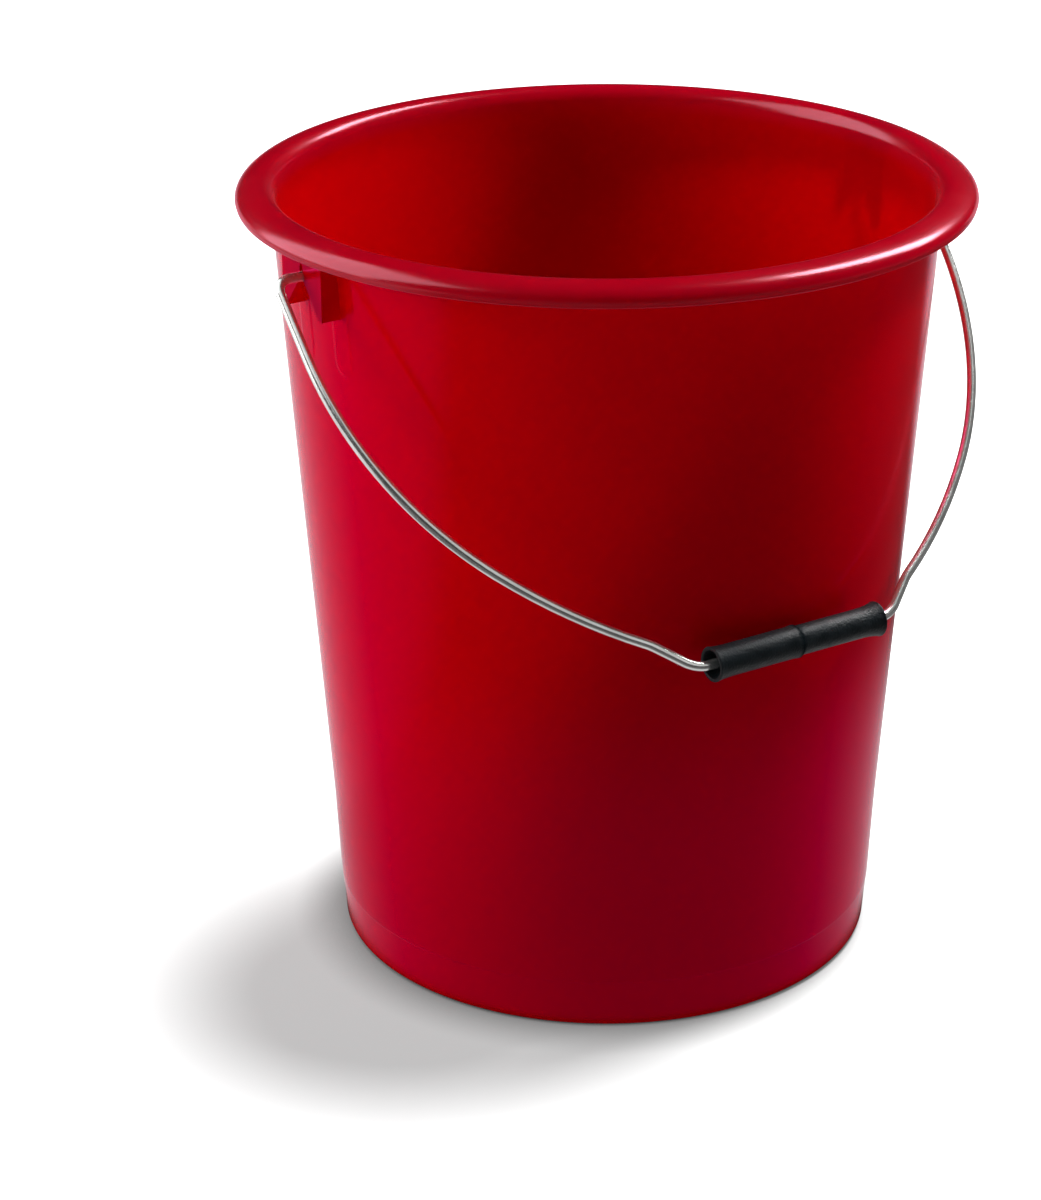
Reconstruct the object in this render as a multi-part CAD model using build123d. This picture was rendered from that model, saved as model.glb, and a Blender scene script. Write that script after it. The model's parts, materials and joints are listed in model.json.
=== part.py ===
from build123d import *
import os
from math import cos, radians, sin

# Wash bucket: one moulded plastic body with ears, one bent steel bail, and a
# two-piece plastic grip that turns on the bail.
# Millimetres. Origin at the centre of the base, +Z up. The ears lie on the
# X axis and the bail hangs down on the -Y side.

# ---- Driving dimensions ----
bucket_height = 330.0
rim_radius = 150.0
wall_radius_base = 112.6       # the tapered wall, carried down to the base
wall_radius_top = 136.5        # the tapered wall, carried up to the rim's top
wall = 2.2

# Base and foot band
foot_radius = 113.2
foot_band_height = 13.5
foot_corner = 3.8
shoulder_height = 21.5         # where the wall steps out above the foot band
shoulder_flare = 0.7
flare_end_height = 60.0
foot_ring_inner = 100.0
floor_recess = 4.0
floor_thickness = 2.4
floor_slope_width = 4.0
floor_slope_shift = 1.0        # inner side of the slope, further out than the outer
floor_inner_fillet = 1.6
gate_radius = 5.0
gate_height = 1.2
gate_overlap = 0.2             # sunk into the floor so that the two fuse

# Rolled rim: two quarter ellipses that meet at the crest
roll_half_width = 10.6
roll_half_height = 6.3
lip_drop = 2.2                 # lip below the roll's widest line
lip_tuck = 0.3                 # lip drawn in under the widest line

# Ears: an open-bottomed box under the rim with a keyhole for the bail
ear_front = 142.0              # outer face of the ear's plate
ear_plate = 2.4
ear_half_width = 15.0
ear_rib = 2.3
ear_bottom = 297.0
pivot_height = 312.0
pivot_clearance = 0.1
throat_half_width = 1.75
throat_drop = 1.6              # throat below the pivot
relief_half_width = 1.2
relief_rise = 5.0              # top of the relief slot above the pivot
pad_width = 11.5
pad_bottom = 272.5
pad_proud = 0.35
pad_overlap = 2.0              # pads carried up under the ribs

cut_margin = 1.0               # cutters stand past the faces they cut by this

# Bail
wire_radius = 2.0
bail_half_span = 153.5         # leg centreline, just outside the rim
bail_drop = 193.0              # pivot axis down to the grip's centreline
bail_rest_angle = 43.5         # from hanging straight down
pivot_bend = 6.0
leg_length = 33.0
upper_arc_radius = 155.0
upper_arc_end = 48.0           # slope of the wire, degrees from the X axis
lower_arc_radius = 232.0
lower_arc_end = 32.0
joggle_out_radius = 25.0
joggle_slope = 42.0
joggle_in_radius = 15.0
head_radius = 3.6
head_thickness = 1.8
head_soft = 0.6                # rounding of the head's edges
head_gap = 0.3

# Grip: two half sleeves, one plugged into the other at mid length
grip_half_length = 40.5
grip_radius = 6.0
socket_radius = 6.45           # the half that takes the other inside it
grip_flare_radius = 7.15
grip_flare_length = 9.0
grip_flare_slope = 0.35        # radius gained per length at the mouth
grip_wall = 1.5
plug_length = 6.0
plug_root = 1.0                # spigot carried into its own half
socket_clearance = 0.5         # room past the spigot's end
bearing_web = 2.0
bearing_web_depth = 6.0
bearing_clearance = 0.08


def wall_radius(z):
    """Outer radius of the tapered wall at height z."""
    return wall_radius_base + (wall_radius_top - wall_radius_base) * z / bucket_height


roll_height = bucket_height - roll_half_height
crest_radius = rim_radius - roll_half_width
roll_inner_half_width = crest_radius - wall_radius(roll_height) + wall


# ---- Bucket body ----
def roll_section(inset):
    """Rim roll as two quarter ellipses, inset from the visible surface."""
    outer = EllipticalCenterArc(
        (crest_radius, roll_height),
        roll_half_width - inset,
        roll_half_height - inset,
        start_angle=0,
        arc_size=90,
    )
    inner = EllipticalCenterArc(
        (crest_radius, roll_height),
        roll_inner_half_width - inset,
        roll_half_height - inset,
        start_angle=90,
        arc_size=90,
    )
    return outer, inner


def revolved(edges):
    """Solid of revolution about Z from edges that close on themselves."""
    section = Plane.XZ * make_face(edges)
    return revolve(section, Axis.Z)


def shell():
    """Wall, foot band, floor and rolled rim as one section."""
    lip_z = roll_height - lip_drop
    visible_outer, visible_inner = roll_section(0)
    hidden_outer, hidden_inner = roll_section(wall)
    wall_in_top = (crest_radius - roll_inner_half_width, roll_height)
    wall_out_top = (wall_radius(roll_height), roll_height)
    lip_out_top = (rim_radius, roll_height)
    lip_in_top = (rim_radius - wall, roll_height)
    lip_out = (rim_radius - lip_tuck, lip_z)
    lip_in = (rim_radius - lip_tuck - wall, lip_z)
    shoulder_out = (wall_radius(shoulder_height) + shoulder_flare, shoulder_height)
    flare_out = (wall_radius(flare_end_height), flare_end_height)
    shoulder_in = (shoulder_out[0] - wall, shoulder_height)
    flare_in = (flare_out[0] - wall, flare_end_height)
    up = (0, 1)
    ring_out = foot_radius - foot_corner
    recess_out = foot_ring_inner - floor_slope_width
    inner_foot = foot_radius - wall
    inner_start = floor_thickness + floor_inner_fillet
    slope_outer = (foot_ring_inner + floor_slope_shift, floor_thickness)
    slope_inner = (recess_out + floor_slope_shift, floor_recess + floor_thickness)

    outside = [
        Line((0, floor_recess), (recess_out, floor_recess)),
        Line((recess_out, floor_recess), (foot_ring_inner, 0)),
        Line((foot_ring_inner, 0), (ring_out, 0)),
        CenterArc((ring_out, foot_corner), foot_corner, -90, 90),
        Line((foot_radius, foot_corner), (foot_radius, foot_band_height)),
        Spline((foot_radius, foot_band_height), shoulder_out, tangents=[up, up]),
        Line(shoulder_out, flare_out),
        Line(flare_out, wall_out_top),
        hidden_inner,
        hidden_outer,
        Spline(lip_in_top, lip_in, tangents=[(0, -1), (-lip_tuck, -lip_drop)]),
    ]
    lip = [Line(lip_in, lip_out)]
    inside = [
        Spline(lip_out_top, lip_out, tangents=[(0, -1), (-lip_tuck, -lip_drop)]),
        visible_outer,
        visible_inner,
        Line(wall_in_top, flare_in),
        Line(flare_in, shoulder_in),
        Spline((inner_foot, foot_band_height), shoulder_in, tangents=[up, up]),
        Line((inner_foot, foot_band_height), (inner_foot, inner_start)),
        CenterArc((inner_foot - floor_inner_fillet, inner_start), floor_inner_fillet, -90, 90),
        Line((inner_foot - floor_inner_fillet, floor_thickness), slope_outer),
        Line(slope_outer, slope_inner),
        Line(slope_inner, (0, slope_inner[1])),
        Line((0, slope_inner[1]), (0, floor_recess)),
    ]
    return revolved(outside + lip + inside)


def ear_zone():
    """Space outside the wall's middle and under the rim's middle."""
    half = wall / 2
    outer, inner = roll_section(half)
    wall_top = (wall_radius(roll_height) - half, roll_height)
    wall_bottom = (wall_radius(ear_bottom) - half, ear_bottom)
    edge_top = (rim_radius - half, roll_height)
    edge_bottom = (rim_radius - half, ear_bottom)
    edges = [
        Line(wall_bottom, wall_top),
        inner,
        outer,
        Line(edge_top, edge_bottom),
        Line(edge_bottom, wall_bottom),
    ]
    return revolved(edges)


def keyhole():
    """Cutter for the pivot hole, its relief slot, throat and lead-in V."""
    pivot = (0, pivot_height)
    throat_z = pivot_height - throat_drop
    lead_in = Polyline(
        (-throat_half_width, pivot_height),
        (-throat_half_width, throat_z),
        (-ear_half_width + ear_rib, ear_bottom),
        (-ear_half_width + ear_rib, ear_bottom - cut_margin),
        (ear_half_width - ear_rib, ear_bottom - cut_margin),
        (ear_half_width - ear_rib, ear_bottom),
        (throat_half_width, throat_z),
        (throat_half_width, pivot_height),
        close=True,
    )
    relief_height = relief_rise - relief_half_width
    relief = Pos(0, pivot_height + relief_height / 2) * Rectangle(2 * relief_half_width, relief_height)
    relief_end = Pos(0, pivot_height + relief_height) * Circle(relief_half_width)
    hole = Pos(*pivot) * Circle(wire_radius + pivot_clearance)
    outline = make_face(lead_in) + relief + relief_end + hole
    face = Plane.YZ.offset(ear_front - ear_plate - cut_margin) * outline
    return extrude(face, ear_plate + 2 * cut_margin)


def ear():
    """One ear on the +X side: plate, two ribs and the keyhole."""
    top = bucket_height
    rib_height = top - ear_bottom
    inner_x = wall_radius_base
    plate = Pos(ear_front - ear_plate / 2, 0, ear_bottom + rib_height / 2) * Box(
        ear_plate, 2 * ear_half_width, rib_height
    )
    blank = plate - keyhole()
    for side in (-1, 1):
        place = Pos(
            (inner_x + ear_front) / 2,
            side * (ear_half_width - ear_rib / 2),
            ear_bottom + rib_height / 2,
        )
        blank += place * Box(ear_front - inner_x, ear_rib, rib_height)
    return blank & ear_zone()


def rib_pads():
    """Shallow round-ended pads on the wall under the ribs of the +X ear."""
    half = wall / 2
    low = pad_bottom - cut_margin
    high = ear_bottom + pad_overlap
    ring_edges = [
        Line((wall_radius(low) - half, low), (wall_radius(low) + pad_proud, low)),
        Line((wall_radius(low) + pad_proud, low), (wall_radius(high) + pad_proud, high)),
        Line((wall_radius(high) + pad_proud, high), (wall_radius(high) - half, high)),
        Line((wall_radius(high) - half, high), (wall_radius(low) - half, low)),
    ]
    straight = high - pad_bottom - pad_width / 2
    pads = None
    for side in (-1, 1):
        y = side * (ear_half_width - ear_rib / 2)
        outline = Pos(y, high - straight / 2) * Rectangle(pad_width, straight)
        outline += Pos(y, high - straight) * Circle(pad_width / 2)
        strip = extrude(Plane.YZ.offset(wall_radius_base) * outline, ear_front - wall_radius_base)
        pads = strip if pads is None else pads + strip
    return pads & revolved(ring_edges)


def bucket_body():
    """The moulded body: shell, both ears, wall pads and the gate boss."""
    body = shell()
    side_features = ear() + rib_pads()
    body += side_features
    body += Rot(0, 0, 180) * side_features
    gate_centre = floor_recess + (gate_overlap - gate_height) / 2
    gate = Pos(0, 0, gate_centre) * Cylinder(gate_radius, gate_height + gate_overlap)
    return body + gate


# ---- Bail ----
def follow(moves, start, heading):
    """Follow straight and curved moves; return the edges and the end point."""
    x, y = start
    edges = []
    for move, amount, turn in moves:
        if move == "line":
            end = (x + amount * cos(radians(heading)), y + amount * sin(radians(heading)))
            edges.append(Line((x, y), end))
        else:
            side = 1 if turn > 0 else -1
            centre_x = x - side * amount * sin(radians(heading))
            centre_y = y + side * amount * cos(radians(heading))
            start_angle = heading - side * 90
            edges.append(CenterArc((centre_x, centre_y), amount, start_angle, turn))
            heading += turn
            end_angle = radians(heading - side * 90)
            end = (centre_x + amount * cos(end_angle), centre_y + amount * sin(end_angle))
        x, y = end
    return edges, (x, y)


def bail_centreline():
    """Half of the bail from the ear to mid grip, in the bail's own plane.

    x runs outwards along the pivot axis and y runs down the bail.
    """
    inner_end = ear_front - ear_plate - head_gap
    across = bail_half_span - pivot_bend - inner_end
    moves = [
        ("line", across, 0),
        ("arc", pivot_bend, 90),
        ("line", leg_length - pivot_bend, 0),
        ("arc", upper_arc_radius, 90 - upper_arc_end),
        ("arc", lower_arc_radius, upper_arc_end - lower_arc_end),
        ("arc", joggle_out_radius, lower_arc_end - joggle_slope),
    ]
    edges, (x, y) = follow(moves, (inner_end, 0), 0)
    heading = 180 - joggle_slope
    left_to_drop = bail_drop - y - joggle_in_radius * (1 - cos(radians(joggle_slope)))
    last_moves = [
        ("line", left_to_drop / sin(radians(joggle_slope)), 0),
        ("arc", joggle_in_radius, joggle_slope),
    ]
    last_edges, (x, y) = follow(last_moves, (x, y), heading)
    edges += last_edges
    edges.append(Line((x, y), (0, bail_drop)))
    return edges


def bail_plane():
    """The bail's plane at rest: local x along the pivots, local y down the bail."""
    lean = radians(bail_rest_angle)
    return Plane(origin=(0, 0, pivot_height), x_dir=(1, 0, 0), z_dir=(0, cos(lean), -sin(lean)))


def bail_wire():
    """Round wire swept along both halves, with an upset head at each end."""
    half = bail_centreline()
    half_wire = Wire(half)
    start = Plane(origin=half_wire @ 0, z_dir=half_wire % 0)
    rod = sweep(start * Circle(wire_radius), path=half_wire)
    head_x = ear_front - ear_plate - head_gap - head_thickness / 2
    head = Pos(head_x, 0, 0) * Rot(0, 90, 0) * Cylinder(head_radius, head_thickness)
    head = fillet(head.edges(), head_soft)
    one_side = rod + head
    return bail_plane() * (one_side + mirror(one_side, Plane.YZ))


# ---- Grip ----
def grip_axis_frame():
    """Frame at mid grip with its local z along the wire."""
    lean = radians(bail_rest_angle)
    centre = (0, -bail_drop * sin(lean), pivot_height - bail_drop * cos(lean))
    return Plane(origin=centre, x_dir=(0, 0, 1), z_dir=(1, 0, 0))


def sleeve(body_radius, spigot):
    """Half sleeve along +Z from mid length, with a flared end and a bearing web."""
    flare_start = grip_half_length - grip_flare_length
    bore_radius = body_radius - grip_wall
    web_outer = grip_half_length - bearing_web_depth
    web_inner = web_outer - bearing_web
    hole = wire_radius + bearing_clearance
    mouth = grip_flare_radius - grip_wall
    edges = [
        Line((bore_radius, 0), (body_radius, 0)),
        Line((body_radius, 0), (body_radius, flare_start)),
        Spline(
            (body_radius, flare_start),
            (grip_flare_radius, grip_half_length),
            tangents=[(0, 1), (grip_flare_slope, 1)],
        ),
        Line((grip_flare_radius, grip_half_length), (mouth, grip_half_length)),
        Line((mouth, grip_half_length), (bore_radius, web_outer)),
        Line((bore_radius, web_outer), (hole, web_outer)),
        Line((hole, web_outer), (hole, web_inner)),
        Line((hole, web_inner), (bore_radius, web_inner)),
        Line((bore_radius, web_inner), (bore_radius, 0)),
    ]
    body = revolved(edges)
    if spigot:
        length = plug_length + plug_root
        ring = Cylinder(bore_radius + grip_wall / 2, length) - Cylinder(bore_radius, length)
        body += Pos(0, 0, plug_root - length / 2) * ring
    return body


def grip_plug_half():
    """Half on the +X side, with a spigot that plugs into the other half."""
    return grip_axis_frame() * sleeve(grip_radius, True)


def grip_socket_half():
    """Half on the -X side, slightly thicker, with a socket at mid length."""
    body = sleeve(socket_radius, False)
    depth = plug_length + socket_clearance
    socket = Cylinder(grip_radius - grip_wall / 2, depth + cut_margin)
    body -= Pos(0, 0, (depth - cut_margin) / 2) * socket
    return grip_axis_frame() * Rot(180, 0, 0) * body


parts = {
    "bucket_body": bucket_body,
    "bail_wire": bail_wire,
    "grip_plug_half": grip_plug_half,
    "grip_socket_half": grip_socket_half,
}

os.makedirs("parts", exist_ok=True)
for name, make in parts.items():
    export_step(make(), f"parts/{name}.step")
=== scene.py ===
import json
from math import acos, atan2, ceil, cos, degrees, exp, hypot, pi, radians, sin, sqrt

import bmesh
import bpy
from mathutils import Matrix, Vector


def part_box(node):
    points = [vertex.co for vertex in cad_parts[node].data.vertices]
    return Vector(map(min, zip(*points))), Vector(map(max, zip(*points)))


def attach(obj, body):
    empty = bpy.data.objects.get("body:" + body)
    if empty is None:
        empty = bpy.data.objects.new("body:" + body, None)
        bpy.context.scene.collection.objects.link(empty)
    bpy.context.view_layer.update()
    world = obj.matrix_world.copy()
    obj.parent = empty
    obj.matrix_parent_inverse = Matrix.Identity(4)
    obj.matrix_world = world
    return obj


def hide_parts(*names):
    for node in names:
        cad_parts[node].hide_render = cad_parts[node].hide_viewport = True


# Wash bucket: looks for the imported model. Metres, the same frame as the CAD:
# origin at the centre of the base, +Z up, ears on the X axis, bail on the -Y side.

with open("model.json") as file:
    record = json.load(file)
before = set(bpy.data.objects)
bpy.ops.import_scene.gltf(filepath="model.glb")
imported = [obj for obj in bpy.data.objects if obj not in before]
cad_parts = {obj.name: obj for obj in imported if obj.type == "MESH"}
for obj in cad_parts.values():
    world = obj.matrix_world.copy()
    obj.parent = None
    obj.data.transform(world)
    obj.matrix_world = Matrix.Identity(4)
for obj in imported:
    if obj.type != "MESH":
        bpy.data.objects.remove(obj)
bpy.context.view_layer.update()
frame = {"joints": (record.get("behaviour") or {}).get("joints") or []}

# ---- Sizes read from the frame ----
bucket_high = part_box("bucket_body")[1]
wire_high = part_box("bail_wire")[1]
joints = {joint["name"]: joint for joint in frame["joints"]}
pivot_height = joints["bail_swing"]["pos_m"][2]
grip_centre = Vector(joints["grip_spin"]["pos_m"])
bail_drop = hypot(grip_centre.y, pivot_height - grip_centre.z)
bail_lean = atan2(-grip_centre.y, pivot_height - grip_centre.z)

MM = 0.001
bucket_height = bucket_high.z
rim_radius = round(bucket_high.x, 4)
wire_radius = 2.0 * MM
bail_half_span = wire_high.x - wire_radius

# ---- Sizes of the moulding ----
wall = 2.2 * MM
wall_radius_base = 112.6 * MM
wall_radius_top = 136.5 * MM
foot_radius = 113.2 * MM
foot_band_height = 13.5 * MM
foot_band_flare = 0.75 * MM
foot_corner = 3.8 * MM
shoulder_height = 21.5 * MM
shoulder_flare = 0.7 * MM
shoulder_bead_depth = 0.12 * MM
shoulder_bead_drop = 0.4 * MM
flare_end_height = 60.0 * MM
foot_ring_inner = 100.0 * MM
floor_recess = 4.0 * MM
floor_thickness = 2.4 * MM
floor_slope_width = 4.0 * MM
floor_slope_shift = 1.0 * MM
floor_softness = 1.2 * MM
floor_corner = 1.6 * MM
roll_half_width = 10.6 * MM
roll_half_height = 6.3 * MM
lip_drop = 2.2 * MM
lip_tuck = 0.3 * MM

ear_front = 142.0 * MM
ear_plate = 2.4 * MM
ear_half_width = 15.0 * MM
ear_rib = 2.3 * MM
ear_bottom = 297.0 * MM
ear_top_inset = 0.15 * MM
pivot_hole_radius = wire_radius + 0.1 * MM
throat_half_width = 1.75 * MM
throat_drop = 1.6 * MM
relief_half_width = 1.2 * MM
relief_rise = 5.0 * MM
pad_width = 11.5 * MM
pad_bottom = 272.5 * MM
pad_edge = 1.1 * MM
pad_proud = 0.16 * MM
sink_mark_width = 2.2 * MM
sink_mark_depth = 0.12 * MM
sink_mark_fade = 8.0 * MM

roll_height = bucket_height - roll_half_height
crest_radius = rim_radius - roll_half_width

# ---- Fineness of the body's mesh ----
turn_coarse = radians(2.0)
turn_fine = radians(0.25)
turn_fine_reach = radians(12.0)    # either side of each ear
spacing_flat = 20.0 * MM
spacing_base = 12.0 * MM
spacing_curve = 4.0 * MM
spacing_fine = 3.0 * MM
spacing_pad = 0.6 * MM
smooth_angle = 35.0                # edges sharper than this stay sharp
tiny = 1e-6


def wall_radius(z):
    """Outer radius of the tapered wall at height z."""
    return wall_radius_base + (wall_radius_top - wall_radius_base) * z / bucket_height


roll_inner_half_width = crest_radius - wall_radius(roll_height) + wall


# ---- Outline helpers: lists of (radius, height) or (x, y) ----
def arc(centre, radii, start, end, steps):
    """Points on an elliptical arc, angles in degrees."""
    points = []
    for i in range(steps + 1):
        angle = radians(start + (end - start) * i / steps)
        points.append((centre[0] + radii[0] * cos(angle), centre[1] + radii[1] * sin(angle)))
    return points


def ease(start, end, steps):
    """Points that leave start and reach end with no slope in the first coordinate."""
    points = []
    for i in range(steps + 1):
        t = i / steps
        share = t * t * (3 - 2 * t)
        points.append((start[0] + (end[0] - start[0]) * share, start[1] + (end[1] - start[1]) * t))
    return points


def straight(start, end, spacing):
    """Evenly spaced points from start to end."""
    length = hypot(end[0] - start[0], end[1] - start[1])
    steps = max(1, ceil(length / spacing))
    return [
        (start[0] + (end[0] - start[0]) * i / steps, start[1] + (end[1] - start[1]) * i / steps)
        for i in range(steps + 1)
    ]


def rounded(before, corner, after, radius, steps=5):
    """A soft corner: a quadratic curve that cuts the corner by radius on each side."""
    corner_v = Vector(corner)
    start = corner_v + (Vector(before) - corner_v).normalized() * radius
    end = corner_v + (Vector(after) - corner_v).normalized() * radius
    points = []
    for i in range(steps + 1):
        t = i / steps
        point = start * (1 - t) ** 2 + corner_v * 2 * t * (1 - t) + end * t * t
        points.append(tuple(point))
    return points


def joined(*runs):
    """One list from several runs, without points that repeat."""
    points = []
    for run in runs:
        for point in run:
            if not points or hypot(point[0] - points[-1][0], point[1] - points[-1][1]) > tiny:
                points.append(point)
    return points


# ---- Mesh helpers ----
def new_object(name, bm, sharp_angle=smooth_angle):
    """A smooth-shaded object from a bmesh, with edges above sharp_angle kept sharp."""
    bmesh.ops.recalc_face_normals(bm, faces=bm.faces)
    mesh = bpy.data.meshes.new(name)
    bm.to_mesh(mesh)
    bm.free()
    mesh.polygons.foreach_set("use_smooth", [True] * len(mesh.polygons))
    mesh.set_sharp_from_angle(angle=radians(sharp_angle))
    piece = bpy.data.objects.new(name, mesh)
    bpy.context.scene.collection.objects.link(piece)
    return piece


def lathe(bm, profile, turns, place=Matrix.Identity(4), ring=False):
    """Revolves (radius, height) points about Z at the given angles, in radians."""
    rings = []
    for radius, height in profile:
        if radius < tiny:
            pole = bm.verts.new(place @ Vector((0, 0, height)))
            rings.append([pole] * len(turns))
            continue
        rings.append(
            [bm.verts.new(place @ Vector((radius * cos(a), radius * sin(a), height))) for a in turns]
        )
    pairs = list(zip(rings, rings[1:]))
    if ring:
        pairs.append((rings[-1], rings[0]))
    for lower, upper in pairs:
        for i in range(len(turns)):
            j = (i + 1) % len(turns)
            corners = [lower[i], lower[j], upper[j], upper[i]]
            unique = list(dict.fromkeys(corners))
            if len(unique) > 2:
                bm.faces.new(unique)


def prism(bm, outline, place, depth):
    """A closed solid: the outline in local XY, carried from z=0 to z=depth."""
    low = [bm.verts.new(place @ Vector((x, y, 0))) for x, y in outline]
    high = [bm.verts.new(place @ Vector((x, y, depth))) for x, y in outline]
    bm.faces.new(list(reversed(low)))
    bm.faces.new(high)
    for i in range(len(outline)):
        j = (i + 1) % len(outline)
        bm.faces.new([low[i], low[j], high[j], high[i]])


def evenly(count):
    """Equal turns round a circle."""
    return [2 * pi * i / count for i in range(count)]


# ---- Bucket body ----
def roll(inset, part, steps):
    """The rim's roll, inset from the visible surface: 'outer' or 'inner' quarter."""
    half_width = roll_half_width if part == "outer" else roll_inner_half_width
    start, end = (0, 90) if part == "outer" else (90, 180)
    radii = (half_width - inset, roll_half_height - inset)
    return arc((crest_radius, roll_height), radii, start, end, steps)


def on_wall(z, inset=0.0):
    """The point of the wall's outside at height z, moved in by inset."""
    return (wall_radius(z) - inset, z)


# Corners of the half section that more than one run uses.
ring_out = foot_radius - foot_corner
recess_out = foot_ring_inner - floor_slope_width
lip_z = roll_height - lip_drop
lip_middle = rim_radius - lip_tuck - wall / 2
shoulder = (wall_radius(shoulder_height) + shoulder_flare, shoulder_height)


def outside_profile():
    """From the underside's centre, up the outside of the wall and under the roll to its lip."""
    under_centre = (0, floor_recess)
    under_edge = (recess_out, floor_recess)
    ring_edge = (foot_ring_inner, 0)
    foot = (foot_radius, foot_corner)
    band = (foot_radius + foot_band_flare, foot_band_height)
    bead = (shoulder[0] - shoulder_bead_depth, shoulder[1] - shoulder_bead_drop)
    flare = on_wall(flare_end_height)
    return joined(
        straight(under_centre, (recess_out - floor_softness, floor_recess), spacing_base),
        rounded(under_centre, under_edge, ring_edge, floor_softness),
        rounded(under_edge, ring_edge, (ring_out, 0), floor_softness),
        arc((ring_out, foot_corner), (foot_corner, foot_corner), -90, 0, steps=10),
        straight(foot, band, spacing_fine)[:-1],
        rounded(foot, band, bead, radius=2 * MM),
        rounded(band, bead, shoulder, radius=0.1 * MM, steps=2),
        rounded(bead, shoulder, flare, radius=0.1 * MM, steps=2),
        straight(shoulder, flare, spacing_curve)[1:],
        straight(flare, on_wall(pad_bottom - 2 * MM), spacing_flat),
        straight(on_wall(pad_bottom), on_wall(ear_bottom), spacing_pad),
        straight(on_wall(ear_bottom), on_wall(roll_height), spacing_fine),
        reversed(roll(wall, "inner", steps=8)),
        reversed(roll(wall, "outer", steps=12)),
        ease((rim_radius - wall, roll_height), (lip_middle - wall / 2, lip_z + wall / 2), steps=6),
    )


def inside_profile():
    """From the lip's outer side, over the roll and down the inside to the floor's centre."""
    floor_top = floor_recess + floor_thickness
    inner_foot = foot_radius - wall
    band = (inner_foot, foot_band_height)
    corner_centre = (inner_foot - floor_corner, floor_thickness + floor_corner)
    slope_low = (foot_ring_inner + floor_slope_shift, floor_thickness)
    slope_high = (recess_out + floor_slope_shift, floor_top)
    inner_shoulder = (shoulder[0] - wall, shoulder[1])
    flare = on_wall(flare_end_height, wall)
    below_marks = on_wall(ear_bottom - 6 * MM, wall)
    return joined(
        reversed(ease((rim_radius, roll_height), (lip_middle + wall / 2, lip_z + wall / 2), steps=6)),
        roll(0, "outer", steps=28),
        roll(0, "inner", steps=16),
        straight(on_wall(roll_height, wall), below_marks, spacing_curve),
        straight(below_marks, flare, spacing_flat),
        straight(flare, inner_shoulder, spacing_curve),
        reversed(ease(band, inner_shoulder, steps=10)),
        straight(band, (inner_foot, corner_centre[1]), spacing_fine),
        reversed(arc(corner_centre, (floor_corner, floor_corner), -90, 0, steps=6)),
        rounded((ring_out, floor_thickness), slope_low, slope_high, floor_softness),
        rounded(slope_low, slope_high, (0, floor_top), floor_softness),
        straight((recess_out - floor_softness, floor_top), (0, floor_top), spacing_base),
    )


def body_profile():
    """Half section of the moulding, from the underside's centre round to the floor's centre."""
    lip = arc((lip_middle, lip_z + wall / 2), (wall / 2, wall / 2), 180, 360, steps=8)
    return joined(outside_profile(), lip, inside_profile())


def body_turns():
    """Angles round the body, closer together where the ears and pads are."""
    turns = []
    angle = -turn_fine_reach
    while angle < 2 * pi - turn_fine_reach - tiny:
        turns.append(angle)
        from_ears = (angle, angle - pi)
        near_ear = any(-turn_fine_reach - tiny < a < turn_fine_reach - tiny for a in from_ears)
        angle += turn_fine if near_ear else turn_coarse
    return turns


def pad_height(y, z):
    """How far the wall's pads stand proud at sideways place y and height z."""
    half = pad_width / 2
    across = abs(y) - (ear_half_width - ear_rib / 2)
    below = max(0.0, pad_bottom + half - z)
    inside = half - hypot(across, below)
    share = max(0.0, min(1.0, inside / pad_edge))
    return pad_proud * share * share * (3 - 2 * share)


def sink_depth(y, z):
    """Depth of the shallow sink marks inside the wall, opposite the ribs."""
    across = (abs(y) - (ear_half_width - ear_rib / 2)) / sink_mark_width
    above = z - ear_bottom + sink_mark_fade / 2
    if above < 0 or abs(across) > 3:
        return 0.0
    return sink_mark_depth * min(1.0, above / sink_mark_fade) * exp(-across * across)


def shape_wall(bm):
    """Raises the pads outside and sinks the marks inside the lathed wall."""
    reach = 0.02 * MM
    for vert in bm.verts:
        x, y, z = vert.co
        if z < pad_bottom - 1 * MM or z > roll_height:
            continue
        radius = hypot(x, y)
        if abs(radius - wall_radius(z)) < reach:
            grown = radius + pad_height(y, z)
        elif abs(radius - wall_radius(z) + wall) < reach:
            grown = radius + sink_depth(y, z)
        else:
            continue
        vert.co.x *= grown / radius
        vert.co.y *= grown / radius


def keyhole_outline():
    """The ear plate's outline in (y, z), with the V, throat, hole and relief slot cut in."""
    top = roll_height + roll_half_height - wall / 2 - ear_top_inset
    throat_angle = degrees(acos(throat_half_width / pivot_hole_radius))
    slot_angle = degrees(acos(relief_half_width / pivot_hole_radius))
    hole = (0, pivot_height)
    radii = (pivot_hole_radius, pivot_hole_radius)
    relief_top = (0, pivot_height + relief_rise - relief_half_width)
    rib_inner = ear_half_width - ear_rib
    right = joined(
        [(ear_half_width, top), (ear_half_width, ear_bottom), (rib_inner, ear_bottom)],
        [(throat_half_width, pivot_height - throat_drop)],
        arc(hole, radii, -throat_angle, slot_angle, 10),
        arc(relief_top, (relief_half_width, relief_half_width), 0, 90, 5),
    )
    left = [(-y, z) for y, z in reversed(right)]
    return joined(right, left)


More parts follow.
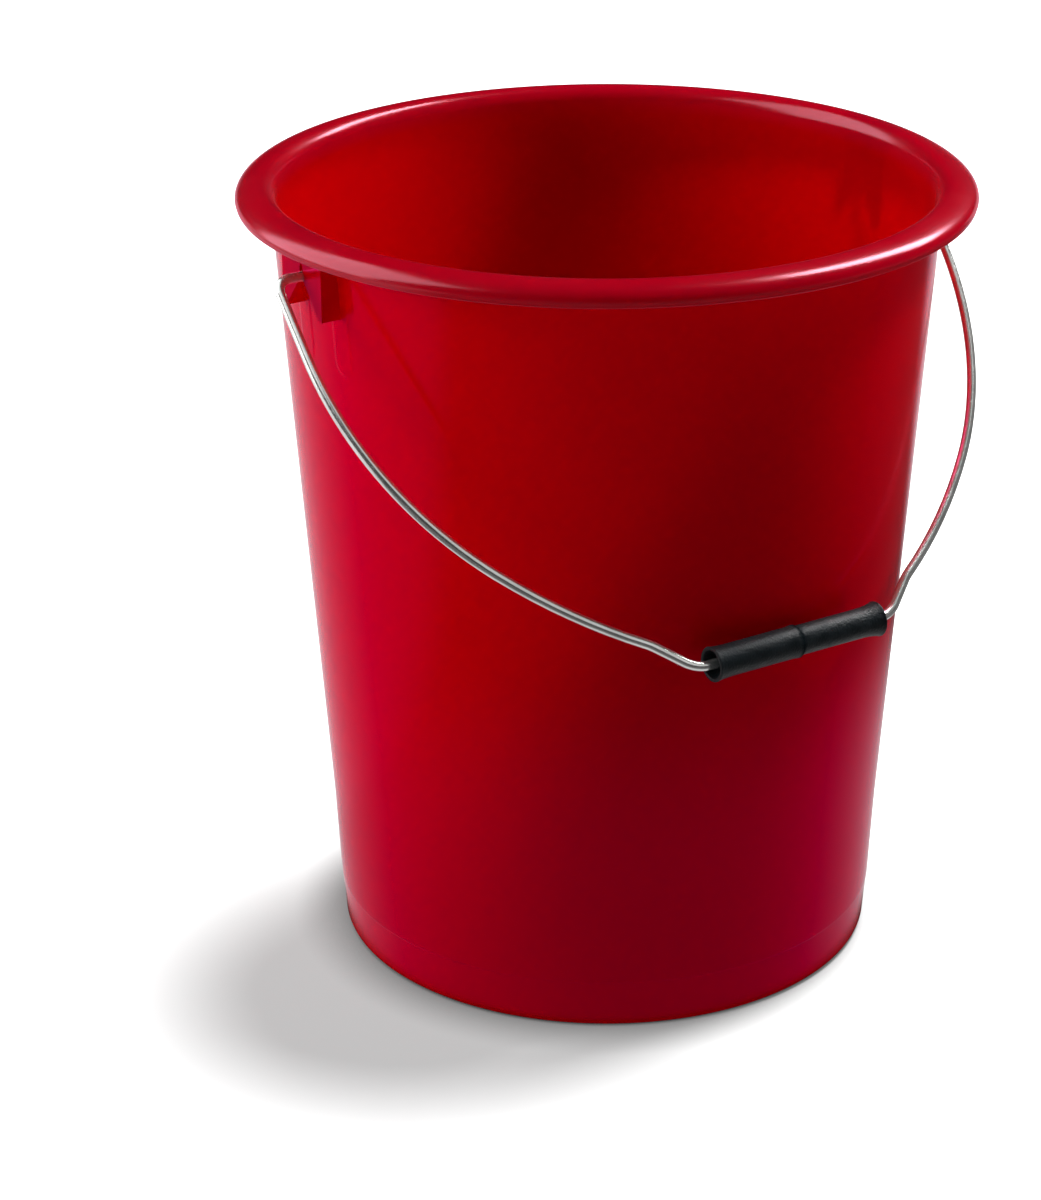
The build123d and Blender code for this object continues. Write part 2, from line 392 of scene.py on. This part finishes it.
def rib_outline():
    """A rib's outline in (x, z): from inside the wall out to the ear's front face."""
    half = wall / 2
    middle = ear_half_width - ear_rib / 2

    def along_x(radius):
        return sqrt(radius * radius - middle * middle)

    up_wall = [
        (wall_radius(ear_bottom) - half, ear_bottom),
        (wall_radius(roll_height) - half, roll_height),
    ]
    crest = list(reversed(roll(half, "inner", 6)))
    over = [p for p in reversed(roll(half, "outer", 12)) if along_x(p[0]) < ear_front - ear_plate / 2]
    curve = [(along_x(r), z) for r, z in joined(up_wall, crest, over)]
    plate_middle = ear_front - ear_plate / 2
    return joined(curve, [(plate_middle, curve[-1][1]), (plate_middle, ear_bottom)])


def ear_solids(side):
    """One ear as closed solids on the +X side, or on the -X side when side is -1."""
    turn = Matrix.Identity(4) if side > 0 else Matrix.Rotation(pi, 4, "Z")
    plate_place = Matrix(((0, 0, 1, ear_front - ear_plate), (1, 0, 0, 0), (0, 1, 0, 0), (0, 0, 0, 1)))
    solids = []
    bm = bmesh.new()
    prism(bm, keyhole_outline(), turn @ plate_place, ear_plate)
    solids.append(bm)
    for y in (-ear_half_width, ear_half_width - ear_rib):
        rib_place = Matrix(((1, 0, 0, 0), (0, 0, -1, y + ear_rib), (0, 1, 0, 0), (0, 0, 0, 1)))
        bm = bmesh.new()
        prism(bm, rib_outline(), turn @ rib_place, ear_rib)
        solids.append(bm)
    return solids


def unite(target, solids):
    """Joins the solids to target with exact booleans and keeps the result in target."""
    cutters = []
    for number, bm in enumerate(solids):
        cutter = new_object(f"cutter_{number}", bm)
        modifier = target.modifiers.new(cutter.name, "BOOLEAN")
        modifier.operation = "UNION"
        modifier.solver = "EXACT"
        modifier.object = cutter
        cutters.append(cutter)
    bpy.context.view_layer.update()
    shaped = bpy.data.meshes.new_from_object(target.evaluated_get(bpy.context.evaluated_depsgraph_get()))
    target.modifiers.clear()
    target.data = shaped
    for cutter in cutters:
        bpy.data.objects.remove(cutter)


def bucket_body():
    """The moulded body as one closed mesh: shell, rim, foot band, pads and both ears."""
    bm = bmesh.new()
    lathe(bm, body_profile(), body_turns())
    shape_wall(bm)
    body = new_object("bucket", bm)
    unite(body, ear_solids(1) + ear_solids(-1))
    body.data.name = "bucket"
    body.data.polygons.foreach_set("use_smooth", [True] * len(body.data.polygons))
    body.data.set_sharp_from_angle(angle=radians(smooth_angle))
    return body


# ---- Bail ----
pivot_bend = 6.0 * MM
leg_length = 33.0 * MM
upper_arc_radius = 155.0 * MM
upper_arc_end = 48.0
lower_arc_radius = 232.0 * MM
lower_arc_end = 32.0
joggle_out_radius = 25.0 * MM
joggle_slope = 42.0
joggle_in_radius = 15.0 * MM
head_radius = 3.6 * MM
head_thickness = 1.8 * MM
head_gap = 0.3 * MM
head_softness = 0.5 * MM
wire_sides = 28
round_smooth_angle = 40.0


def follow(moves, start, heading):
    """Points along straight and curved moves, with the end point and heading."""
    x, y = start
    points = [(x, y)]
    for amount, turn in moves:
        if turn == 0:
            steps = max(1, round(amount / (5 * MM)))
            for _ in range(steps):
                x += amount / steps * cos(radians(heading))
                y += amount / steps * sin(radians(heading))
                points.append((x, y))
            continue
        side = 1 if turn > 0 else -1
        centre = (x - side * amount * sin(radians(heading)), y + side * amount * cos(radians(heading)))
        begin = heading - side * 90
        run = arc(centre, (amount, amount), begin, begin + turn, max(8, round(abs(turn) / 2)))
        points += run[1:]
        x, y = run[-1]
        heading += turn
    return points, heading


def bail_centreline():
    """The whole bail from ear to ear in its own plane, x along the pivots, y down the bail."""
    inner_end = ear_front - ear_plate - head_gap - head_thickness
    moves = [
        (bail_half_span - pivot_bend - inner_end, 0),
        (pivot_bend, 90),
        (leg_length - pivot_bend, 0),
        (upper_arc_radius, 90 - upper_arc_end),
        (lower_arc_radius, upper_arc_end - lower_arc_end),
        (joggle_out_radius, lower_arc_end - joggle_slope),
    ]
    points, heading = follow(moves, (inner_end, 0), 0)
    left_over = bail_drop - points[-1][1] - joggle_in_radius * (1 - cos(radians(joggle_slope)))
    moves = [(left_over / sin(radians(joggle_slope)), 0), (joggle_in_radius, joggle_slope)]
    more, heading = follow(moves, points[-1], heading)
    points += more[1:]
    last = straight(points[-1], (0, bail_drop), 4 * MM)
    half = joined(points, last)
    return half + [(-x, y) for x, y in reversed(half[:-1])]


def wire_reach(distance):
    """The wire's radius at a distance from its end: a domed, upset head, then the wire."""
    soft = head_softness
    if distance < soft:
        return head_radius - soft + sqrt(max(0.0, soft**2 - (soft - distance) ** 2))
    if distance < head_thickness - soft:
        return head_radius
    if distance < head_thickness:
        along = distance - head_thickness + soft
        return head_radius - soft + sqrt(max(0.0, soft**2 - along**2))
    return wire_radius


def tube(bm, points, radii, sides):
    """A closed tube through planar points, with its own radius at each point."""
    rings = []
    normal = Vector((0, 0, 1))
    for i, point in enumerate(points):
        ahead = Vector(points[min(i + 1, len(points) - 1)])
        behind = Vector(points[max(i - 1, 0)])
        along = (ahead - behind).normalized()
        side = normal.cross(along)
        ring = []
        for k in range(sides):
            turn = 2 * pi * k / sides
            ring.append(bm.verts.new(Vector(point) + radii[i] * (cos(turn) * side + sin(turn) * normal)))
        rings.append(ring)
    for near, far in zip(rings, rings[1:]):
        for k in range(sides):
            j = (k + 1) % sides
            bm.faces.new([near[k], near[j], far[j], far[k]])
    bm.faces.new(list(reversed(rings[0])))
    bm.faces.new(rings[-1])


def bail_matrix():
    """Takes the bail's own plane to its rest place in the frame."""
    across = Vector((1, 0, 0))
    down = Vector((0, -sin(bail_lean), -cos(bail_lean)))
    out = across.cross(down)
    turn = Matrix((across, down, out)).transposed().to_4x4()
    return Matrix.Translation((0, 0, pivot_height)) @ turn


def bail_wire():
    """The bent wire with a head at each end."""
    line = bail_centreline()
    # Places along the head in millimetres, closer together at its rounded edges.
    head_steps = [0.0, 0.12, 0.3, 0.5, 0.9, 1.3, 1.5, 1.68, 1.8]
    heads = [(line[0][0] + step * MM, 0.0) for step in head_steps]
    radii = [wire_reach(step * MM) for step in head_steps]
    radii[-1] = wire_radius
    past_head = heads[-1][0] + 0.2 * MM
    points = heads + [p for p in line[1:-1] if abs(p[0]) > past_head or p[1] > tiny]
    ends = [(-x, y) for x, y in reversed(heads)]
    body_radii = [wire_radius] * (len(points) - len(heads))
    bm = bmesh.new()
    flat = [(x, y, 0.0) for x, y in points + ends]
    tube(bm, flat, radii + body_radii + list(reversed(radii)), wire_sides)
    bmesh.ops.transform(bm, matrix=bail_matrix(), verts=bm.verts)
    return new_object("bail", bm, round_smooth_angle)


# ---- Grip ----
grip_half_length = 40.5 * MM
grip_radius = 6.0 * MM
socket_radius = 6.45 * MM
grip_flare_radius = 7.15 * MM
grip_flare_length = 9.0 * MM
grip_wall = 1.5 * MM
plug_length = 6.0 * MM
bearing_web = 2.0 * MM
bearing_web_depth = 6.0 * MM
bearing_radius = wire_radius + 0.08 * MM
mouth_softness = 0.45 * MM
seam_lip = 0.3 * MM
seam_lip_length = 4.0 * MM
seam_softness = 0.15 * MM
socket_gap = 0.5 * MM
grip_sides = 72


def sleeve_profile(body_radius, plug):
    """Half section of one grip sleeve, from mid length out to its flared mouth and back."""
    flare_start = grip_half_length - grip_flare_length
    bore = body_radius - grip_wall
    web_outer = grip_half_length - bearing_web_depth
    web_inner = web_outer - bearing_web
    mouth = grip_flare_radius - grip_wall
    soft = mouth_softness
    rise = grip_flare_radius - body_radius
    shares = [i / 10 for i in range(10)]
    flare = [(body_radius + rise * t * t, flare_start + grip_flare_length * t) for t in shares]
    mouth_edge = (grip_flare_radius, grip_half_length)
    end_radius = body_radius if plug else body_radius + seam_lip
    outside = joined(
        rounded((bore, 0), (end_radius, 0), (body_radius, seam_lip_length), seam_softness),
        straight((body_radius, seam_lip_length), (body_radius, flare_start), spacing=2 * MM),
        flare,
        arc((grip_flare_radius - soft, grip_half_length - soft), (soft, soft), 0, 90, steps=5),
    )
    inside = joined(
        rounded(mouth_edge, (mouth, grip_half_length), (bore, web_outer), soft),
        straight((mouth, grip_half_length - soft), (bore, web_outer), spacing=2 * MM)[1:],
        [(bearing_radius, web_outer), (bearing_radius, web_inner), (bore, web_inner)],
    )
    if plug:
        spigot = bore + grip_wall / 2
        end = [(bore, -plug_length), (spigot, -plug_length), (spigot, 0)]
    else:
        socket = grip_radius - grip_wall / 2
        depth = plug_length + socket_gap
        end = [(bore, depth), (socket, depth), (socket, 0)]
    return joined(outside, inside, end)


def grip_half(name, body_radius, plug, side):
    """One sleeve on the wire; side is +1 for +X and -1 for -X."""
    along = Vector((side, 0, 0))
    up = Vector((0, 0, 1))
    turn = Matrix((up.cross(along), up, along)).transposed()
    if side < 0:
        turn = Matrix((-up.cross(along), -up, along)).transposed()
    place = Matrix.Translation(grip_centre) @ turn.to_4x4()
    bm = bmesh.new()
    lathe(bm, sleeve_profile(body_radius, plug), evenly(grip_sides), place, ring=True)
    return new_object(name, bm, round_smooth_angle)


# ---- Materials ----
class Nodes:
    """Short calls for building a node material."""

    def __init__(self, name):
        self.material = bpy.data.materials.new(name)
        self.material.use_nodes = True
        self.tree = self.material.node_tree
        self.tree.nodes.clear()
        self.place = self.add("ShaderNodeTexCoord").outputs["Object"]

    def add(self, kind, **settings):
        """A node of the kind, with its settings."""
        node = self.tree.nodes.new(kind)
        for key, value in settings.items():
            setattr(node, key, value)
        return node

    def feed(self, socket, value):
        """Links the socket to another socket, or sets its value."""
        if isinstance(value, bpy.types.NodeSocket):
            self.tree.links.new(value, socket)
        else:
            socket.default_value = value

    def put(self, node, **values):
        """Feeds inputs by name, with spaces in the names written as underscores."""
        for key, value in values.items():
            self.feed(node.inputs[key.replace("_", " ")], value)
        return node

    def noise(self, scale, detail=3.0, rough=0.5, where=None):
        """Smooth noise about 0.5; a larger scale gives finer marks."""
        node = self.add("ShaderNodeTexNoise")
        self.put(node, Vector=where or self.place, Scale=scale, Detail=detail, Roughness=rough)
        return node.outputs["Fac"]

    def stretched(self, scale):
        """Object coordinates scaled along each axis."""
        node = self.add("ShaderNodeMapping")
        self.put(node, Vector=self.place, Scale=scale)
        return node.outputs["Vector"]

    def axis(self, letter):
        """One object coordinate."""
        node = self.add("ShaderNodeSeparateXYZ")
        self.put(node, Vector=self.place)
        return node.outputs[letter]

    def remap(self, value, low, high, to_low, to_high, smooth=False):
        """The value carried from one range to another and held within it."""
        node = self.add("ShaderNodeMapRange", interpolation_type="SMOOTHSTEP" if smooth else "LINEAR")
        self.put(node, Value=value, From_Min=low, From_Max=high, To_Min=to_low, To_Max=to_high)
        return node.outputs["Result"]

    def spread(self, noise, to_low, to_high):
        """The middle of a noise's range carried to a range of its own."""
        return self.remap(noise, 0.3, 0.7, to_low, to_high)

    def maths(self, operation, value, other=None):
        """The result of an operation on one or two values."""
        node = self.add("ShaderNodeMath", operation=operation)
        self.feed(node.inputs[0], value)
        if other is not None:
            self.feed(node.inputs[1], other)
        return node.outputs[0]

    def dot(self, vector, direction):
        """How far the vector reaches along a direction."""
        node = self.add("ShaderNodeVectorMath", operation="DOT_PRODUCT")
        self.feed(node.inputs[0], vector)
        self.feed(node.inputs[1], direction)
        return node.outputs["Value"]

    def length(self, vector):
        """The vector's length."""
        node = self.add("ShaderNodeVectorMath", operation="LENGTH")
        self.feed(node.inputs[0], vector)
        return node.outputs["Value"]

    def bump(self, height, strength, distance, normal=None):
        """A normal tilted by the slope of height, on top of another normal if one is given."""
        node = self.add("ShaderNodeBump")
        self.put(node, Height=height, Strength=strength, Distance=distance)
        if normal:
            self.put(node, Normal=normal)
        return node.outputs["Normal"]

    def blend(self, factor, low, high):
        """A colour between low and high."""
        node = self.add("ShaderNodeMix", data_type="RGBA")
        for place, value in ((0, factor), (6, low), (7, high)):
            self.feed(node.inputs[place], value)
        return node.outputs[2]

    def mix(self, factor, first, second):
        """A shader between two shader nodes."""
        node = self.add("ShaderNodeMixShader")
        for place, value in enumerate((factor, first.outputs[0], second.outputs[0])):
            self.feed(node.inputs[place], value)
        return node

    def glow(self, strength):
        """A surface that gives off light."""
        node = self.add("ShaderNodeEmission")
        self.put(node, Strength=strength)
        return node

    def finish(self, shader):
        """The finished material, showing the shader."""
        out = self.add("ShaderNodeOutputMaterial")
        self.tree.links.new(shader.outputs[0], out.inputs["Surface"])
        return self.material


def red_plastic():
    """Glossy polypropylene that lets a little light through."""
    deep = (0.34, 0.0, 0.0015, 1.0)
    bright = (0.41, 0.0, 0.0030, 1.0)
    # The rim's base colour is the plastic's red with extra blue: painted reflection, standing in for the
    # pink sheen on the rim.
    rim_red_and_sheen = (0.36, 0.0, 0.014, 1.0)
    rim_tint = (1.0, 0.5, 0.62, 1.0)
    glow_colour = (0.95, 0.0, 0.002, 1.0)
    glow_share = 0.55
    rim_softening = 1.5

    n = Nodes("red_plastic")
    normal = n.bump(n.noise(900.0, detail=2.0, rough=0.6), strength=0.06, distance=0.05 * MM)
    on_rim = n.remap(n.axis("Z"), roll_height - 5 * MM, roll_height, 0.0, 1.0)

    flow = n.noise(6.0, detail=2.0, where=n.stretched((1.0, 1.0, 0.25)))
    colour = n.blend(n.spread(flow, 0.0, 1.0), deep, bright)
    base = n.add("ShaderNodeBsdfPrincipled")
    # On the rim the base colour turns to the bluer rim colour, a painted reflection over the red.
    n.put(base, Base_Color=n.blend(on_rim, colour, rim_red_and_sheen), Normal=normal)
    n.put(base, Roughness=0.5, Specular_IOR_Level=0.0)
    glow = n.add("ShaderNodeBsdfTranslucent")
    n.put(glow, Color=glow_colour, Normal=normal)
    body = n.mix(glow_share, base, glow)

    # Reflections are red where the wall faces the eye and whiter where it turns away.
    facing = n.add("ShaderNodeLayerWeight")
    n.put(facing, Blend=0.5, Normal=normal)
    grazing = n.maths("POWER", facing.outputs["Facing"], 3.0)
    green = n.remap(grazing, 0.12, 1.0, 0.0, 1.0)
    blue = n.remap(grazing, 0.0, 1.0, 0.18, 1.0)
    tint = n.add("ShaderNodeCombineColor")
    n.put(tint, Red=1.0, Green=green, Blue=blue)
    haze = n.spread(n.noise(35.0, detail=4.0, rough=0.6), 0.11, 0.16)
    rough = n.maths("MULTIPLY", haze, n.remap(on_rim, 0.0, 1.0, 1.0, rim_softening))
    sheen = n.add("ShaderNodeBsdfGlossy")
    n.put(sheen, Color=n.blend(on_rim, tint.outputs[0], rim_tint), Roughness=rough, Normal=normal)
    fresnel = n.add("ShaderNodeFresnel")
    n.put(fresnel, IOR=1.5, Normal=normal)
    return n.finish(n.mix(fresnel.outputs[0], body, sheen))


def bright_wire():
    """Drawn, zinc-plated steel wire with faint draw lines."""
    dull_zinc = (0.66, 0.66, 0.64, 1.0)
    bright_zinc = (0.82, 0.82, 0.80, 1.0)

    n = Nodes("bright_wire")
    drawn = n.noise(260.0, rough=0.6, where=n.stretched((0.25, 1.0, 1.0)))
    colour = n.blend(n.spread(n.noise(60.0), 0.0, 1.0), dull_zinc, bright_zinc)
    metal = n.add("ShaderNodeBsdfPrincipled")
    n.put(metal, Base_Color=colour, Metallic=0.9, Roughness=n.spread(drawn, 0.17, 0.24))
    n.put(metal, Normal=n.bump(drawn, strength=0.02, distance=0.02 * MM))
    return n.finish(metal)


def black_grip():
    """Black moulded polyethylene with a fine matt grain; beside the seam at mid length its reflection is
    cut away as painted shade at the step.
    """
    dark = (0.002, 0.004, 0.005, 1.0)
    light = (0.007, 0.010, 0.012, 1.0)
    # Reach of the painted shade at the seam: no reflection within the first, full shine beyond the
    # second.
    seam_shade_core = 0.2 * MM
    seam_shade_reach = 2.2 * MM
    shine = 0.24

    n = Nodes("black_grip")
    grain = n.noise(1100.0, detail=2.0, rough=0.6)
    broad = n.noise(180.0, rough=0.6)
    normal = n.bump(broad, strength=0.3, distance=0.3 * MM)
    normal = n.bump(grain, strength=1.0, distance=0.3 * MM, normal=normal)
    from_seam = n.maths("ABSOLUTE", n.axis("X"))
    plastic = n.add("ShaderNodeBsdfPrincipled")
    n.put(plastic, Base_Color=n.blend(n.spread(broad, 0.0, 1.0), dark, light), Normal=normal)
    n.put(plastic, Roughness=n.spread(broad, 0.38, 0.55))
    # Painted shade: the reflection fades out toward the seam, standing in for the shade at the step
    # between the halves.
    n.put(plastic, Specular_IOR_Level=n.remap(from_seam, seam_shade_core, seam_shade_reach, 0.0, shine, smooth=True))
    return n.finish(plastic)


def dress(piece, material, body, node):
    """Gives a piece its material and its body, and hides the CAD node that it replaces."""
    piece.data.materials.clear()
    piece.data.materials.append(material)
    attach(piece, body)
    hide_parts(node)
    return piece


# ---- Stage: floor, lights and camera ----
view_heading = radians(32.7)      # where the camera looks, clockwise from +Y seen from above
camera_bearing = radians(34.2)    # where the camera stands, clockwise from -Y
camera_distance = 4.149 * bucket_height
camera_height = 2.197 * bucket_height
camera_pitch = 0.4021
camera_roll = -0.0076
camera_lens = 105.0
camera_sensor = 36.0
backdrop = 1.1                    # brightness of the white behind everything

# The paper as the camera sees it: its own glow, and what the sun adds outside the shadow.
paper_half_size = 8.0
paper_ambient = 0.54
paper_albedo = 0.12
paper_key = 1.8
# The paper's glow and colour darken near the foot: painted contact shade, drawn with ambient occlusion.
contact_shade_distance = 24.0 * MM      # how far the dark beside the foot reaches
sun_width = 29.0
sun_place = (0.25, -0.245, 1.0)   # right of, toward and above the base, as the camera sees it

# The paper as the pieces see it: bounced light, and a pattern in their reflections.
paper_bounce = 0.72
paper_dark = 0.08                 # toward the camera and the right
paper_bright = 0.84               # beyond paper_edge, behind and to the left
paper_edge = (0.03, 0.20)
paper_near = 0.7                  # round the bucket, fading out over paper_close
paper_close = (0.22, 0.42)
# Painted shade in reflections: the paper turns dark in a ring beside the foot.
foot_shade_width = 9.0 * MM            # width of the dark ring beside the foot

bucket_middle = Vector((0, 0, 0.6 * bucket_height))    # where the lamps aim
light_distance = 1.7
card_distance = 1.6
top_distance = 2.0


def beside_camera(right, toward, up):
    """A point right of, toward and above the bucket's base as the camera sees it."""
    across = Vector((cos(camera_bearing), -sin(camera_bearing), 0))
    near = Vector((-sin(camera_bearing), -cos(camera_bearing), 0))
    return across * right + near * toward + Vector((0, 0, up))


def around_camera(bearing, climb, distance):
    """A point by its bearing from the camera's side and its climb, both in degrees."""
    bearing, climb = radians(bearing), radians(climb)
    flat = distance * cos(climb)
    lift = bucket_middle.z + distance * sin(climb)
    return beside_camera(flat * sin(bearing), flat * cos(bearing), lift)


def add_camera():
    """The camera, camera_distance from the bucket and a little off its axis."""
    data = bpy.data.cameras.new("camera")
    data.lens = camera_lens
    data.sensor_width = camera_sensor
    camera = bpy.data.objects.new("camera", data)
    bpy.context.scene.collection.objects.link(camera)
    place = Matrix.Translation(beside_camera(0, camera_distance, camera_height))
    turn = Matrix.Rotation(-view_heading, 4, "Z") @ Matrix.Rotation(pi / 2 - camera_pitch, 4, "X")
    camera.matrix_world = place @ turn @ Matrix.Rotation(camera_roll, 4, "Z")
    bpy.context.scene.camera = camera


def add_light(name, place, size, power, size_y=None):
    """A soft box that faces the bucket."""
    data = bpy.data.lights.new(name, "AREA")
    data.shape = "RECTANGLE"
    data.size = size
    data.size_y = size_y or size
    data.energy = power
    lamp = bpy.data.objects.new(name, data)
    bpy.context.scene.collection.objects.link(lamp)
    lamp.location = place
    lamp.rotation_euler = (bucket_middle - place).to_track_quat("-Z", "Y").to_euler()
    return lamp


def add_sun():
    """The light that draws the bucket's shadow on the floor."""
    data = bpy.data.lights.new("floor_key", "SUN")
    data.energy = pi * paper_key / paper_albedo
    data.angle = radians(sun_width)
    sun = bpy.data.objects.new("floor_key", data)
    bpy.context.scene.collection.objects.link(sun)
    sun.rotation_euler = beside_camera(*sun_place).to_track_quat("Z", "Y").to_euler()
    return sun


def lit_only(lamp, pieces):
    """Limits a lamp to some pieces."""
    group = bpy.data.collections.new(lamp.name + "_on")
    for piece in pieces:
        group.objects.link(piece)
    lamp.light_linking.receiver_collection = group


def add_lights(pieces, wire, floor):
    """Boxes that light the pieces, sheens that only show in reflections, and the floor's sun."""
    boxes = [
        add_light("left_box", around_camera(-86, 21, light_distance), size=1.0, power=42),
        add_light("back_box", around_camera(112, 49, light_distance), size=0.3, size_y=0.4, power=52),
        add_light("right_box", around_camera(80, 6, light_distance), size=0.7, power=4),
        add_light("top_box", around_camera(135, 80, top_distance), size=0.5, power=3),
    ]
    sheens = [
        add_light("back_sheen", around_camera(127, 46, light_distance), size=0.42, size_y=1.0, power=38),
        add_light("left_sheen", around_camera(-96, 30, light_distance), size=1.7, size_y=2.0, power=50),
    ]
    cards = [
        add_light("wire_card_left", around_camera(-55, 62, card_distance), size=1.5, power=8),
        add_light("wire_card_right", around_camera(45, 40, card_distance), size=1.5, power=4.5),
    ]
    for box in boxes:
        box.visible_glossy = False
    for sheen in sheens:
        sheen.visible_diffuse = False
        sheen.visible_transmission = False
    for lamp in boxes + sheens:
        lit_only(lamp, pieces)
    for card in cards:
        lit_only(card, [wire])
    lit_only(add_sun(), [floor])


def paper_seen(n):
    """The paper as the camera sees it, with painted contact shade where the bucket stands close to it.
    """
    near = n.add("ShaderNodeAmbientOcclusion", samples=8)
    n.put(near, Distance=contact_shade_distance)
    fibre = n.spread(n.noise(4.0, detail=2.0), 0.98, 1.0)
    # Painted contact shade: the occlusion darkens the paper's glow and colour, with a faint fibre grain.
    contact_shade_and_fibre = n.maths("MULTIPLY", near.outputs["AO"], fibre)
    paper = n.add("ShaderNodeBsdfDiffuse")
    n.put(paper, Color=n.maths("MULTIPLY", contact_shade_and_fibre, paper_albedo))
    seen = n.add("ShaderNodeAddShader")
    n.feed(seen.inputs[0], n.glow(n.maths("MULTIPLY", contact_shade_and_fibre, paper_ambient)).outputs[0])
    n.feed(seen.inputs[1], paper.outputs[0])
    return seen


def paper_mirrored(n):
    """The paper in reflections: bright behind and to the left, and round the bucket, with painted shade
    in a ring beside the foot.
    """
    away = -beside_camera(0, 1, 0)
    left = -beside_camera(1, 0, 0)
    behind = n.dot(n.place, (away + left) / sqrt(2))
    side = n.remap(behind, *paper_edge, paper_dark, paper_bright, smooth=True)
    reach = n.length(n.place)
    close = n.remap(reach, *paper_close, paper_near, 0.0, smooth=True)
    # Painted shade: the reflected paper fades to dark close to the foot.
    clear = n.remap(reach, foot_radius, foot_radius + foot_shade_width, 0.0, 1.0, smooth=True)
    return n.glow(n.maths("MULTIPLY", n.maths("MAXIMUM", side, close), clear))


def add_floor():
    """White paper: one look to the camera, one as bounced light and one in reflections."""
    bm = bmesh.new()
    bmesh.ops.create_grid(bm, x_segments=8, y_segments=8, size=paper_half_size)
    floor = new_object("floor", bm)
    n = Nodes("floor_paper")
    path = n.add("ShaderNodeLightPath")
    to_pieces = n.mix(path.outputs["Is Glossy Ray"], n.glow(paper_bounce), paper_mirrored(n))
    floor.data.materials.append(n.finish(n.mix(path.outputs["Is Camera Ray"], to_pieces, paper_seen(n))))
    return floor


def add_world():
    """White behind everything for the camera, and no light for the pieces."""
    world = bpy.data.worlds.new("studio")
    world.use_nodes = True
    tree = world.node_tree
    ground = tree.nodes["Background"]
    ground.inputs["Color"].default_value = (1, 1, 1, 1)
    path = tree.nodes.new("ShaderNodeLightPath")
    level = tree.nodes.new("ShaderNodeMapRange")
    level.inputs["To Min"].default_value = 0.0
    level.inputs["To Max"].default_value = backdrop
    tree.links.new(path.outputs["Is Camera Ray"], level.inputs["Value"])
    tree.links.new(level.outputs["Result"], ground.inputs["Strength"])
    bpy.context.scene.world = world


scene = bpy.context.scene
scene.view_settings.view_transform = "Standard"
scene.view_settings.look = "None"

bucket = dress(bucket_body(), red_plastic(), "bucket", "bucket_body")
wire = dress(bail_wire(), bright_wire(), "bail", "bail_wire")
black = black_grip()
right_half = grip_half("grip_right", grip_radius, plug=True, side=1)
left_half = grip_half("grip_left", socket_radius, plug=False, side=-1)
dress(right_half, black, "grip", "grip_plug_half")
dress(left_half, black, "grip", "grip_socket_half")

floor = add_floor()
add_world()
add_lights([bucket, wire, right_half, left_half], wire, floor)
add_camera()
